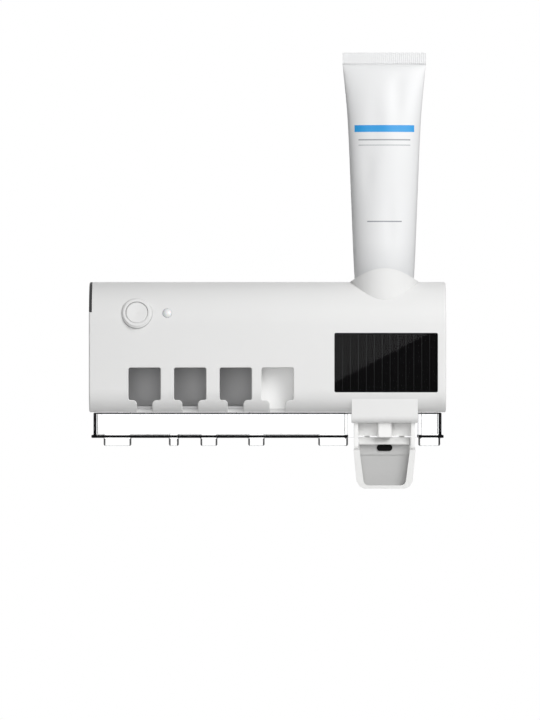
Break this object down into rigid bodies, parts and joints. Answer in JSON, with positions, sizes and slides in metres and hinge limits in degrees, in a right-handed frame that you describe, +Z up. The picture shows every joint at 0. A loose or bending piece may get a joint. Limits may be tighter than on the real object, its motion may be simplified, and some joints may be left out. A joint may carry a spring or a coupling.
{
  "type": "toothpaste dispenser",
  "caption": "Wall-hung toothpaste dispenser with push lever and pump, tube collar on top, lit brush bays, solar panel and clear drip tray.",
  "frame": {"origin": "centre of the mounting pad's back face, on the wall", "axes": "+Y into the wall, +Z up, +X to the viewer's right; the front faces -Y"},
  "size_m": [0.268, 0.0651, 0.3286],
  "materials": {
    "white_casing": "satin gloss",
    "white_dispenser": "satin gloss",
    "pale_bay": "matt",
    "grey_liner": "matt",
    "dark_inner": "matt",
    "pump_plastic": "matt",
    "clear_tray": "clear",
    "panel_glass": "clear",
    "panel_cell": "gloss black with fine lines",
    "black_rubber": "matt",
    "grey_silicone": "matt",
    "foam": "matt",
    "steel": "plain",
    "circuit_board": "satin",
    "lamp_package": "matt",
    "frosted_lens": "frosted",
    "battery_sleeve": "satin",
    "tube_laminate": "satin gloss, one plain coloured band",
    "tube_moulding": "satin gloss"
  },
  "bodies": {
    "wall_mount": {"wall_plate": "pale_bay", "adhesive_pad": "foam"},
    "casing": {"front_shell": "white_casing", "rear_cover": "white_casing", "left_end_cap": "white_casing", "right_end_cap": "white_casing", "button_ring": "white_casing", "tube_collar": "white_casing", "dispenser_frame": "white_dispenser", "outlet_nozzle": "white_dispenser", "shallow_bay": "pale_bay", "bay_liner": "grey_liner", "panel_carrier": "dark_inner", "battery_cradle": "dark_inner", "pump_body": "pump_plastic", "solar_glass": "panel_glass", "solar_cell": "panel_cell", "inlet_seal": "grey_silicone", "inlet_valve": "grey_silicone", "outlet_valve": "grey_silicone", "case_screws": "steel", "pump_screws": "steel", "board_screws": "steel", "lever_pin": "steel", "return_spring": "steel", "charge_port": "steel", "control_board": "circuit_board", "port_board": "circuit_board", "uv_board": "circuit_board", "uv_lamps": "lamp_package", "indicator_led": "lamp_package", "tact_switch": "lamp_package", "indicator_lens": "frosted_lens", "battery": "battery_sleeve"},
    "button": {"button_cap": "white_casing"},
    "port_flap": {"port_cover": "black_rubber"},
    "lever": {"push_lever": "white_dispenser", "press_pad": "black_rubber"},
    "plunger": {"pump_plunger": "pump_plastic", "piston_ring": "black_rubber"},
    "refill": {"paste_tube": "tube_laminate", "tube_shoulder": "tube_moulding"},
    "tray": {"drip_tray": "clear_tray"}
  },
  "joints": [
    {"name": "hang_lift", "type": "slide", "parent": "wall_mount", "child": "casing", "axis": [0, 0, 1], "range_m": [0, 0.012]},
    {"name": "button_press", "type": "slide", "parent": "casing", "child": "button", "axis": [0, 0.9703, -0.2419], "range_m": [0, 0.0012], "stiffness_N_per_m": 400, "springref_m": -0.002},
    {"name": "flap_open", "type": "hinge", "parent": "casing", "child": "port_flap", "pos_m": [-0.134, -0.048, 0.0263], "axis": [0, -1, 0], "range_deg": [0, 110], "stiffness_Nm_per_rad": 0.004, "springref_deg": -17.19},
    {"name": "lever_swing", "type": "hinge", "parent": "casing", "child": "lever", "pos_m": [0.088, -0.038, -0.054], "axis": [1, 0, 0], "range_deg": [0, 12], "stiffness_Nm_per_rad": 0.25, "springref_deg": -11.46},
    {"name": "plunger_slide", "type": "slide", "parent": "casing", "child": "plunger", "axis": [0, 0, 1], "range_m": [0, 0.0039], "deforming": ["return_spring"]},
    {"name": "tube_lift", "type": "slide", "parent": "casing", "child": "refill", "axis": [0, 0, 1], "range_m": [0, 0.07]},
    {"name": "tray_drop", "type": "slide", "parent": "casing", "child": "tray", "axis": [0, 0, -1], "range_m": [0, 0.06]}
  ],
  "couplings": [
    {"joint": "plunger_slide", "follows": "lever_swing", "m_per_rad": 0.0185}
  ]
}
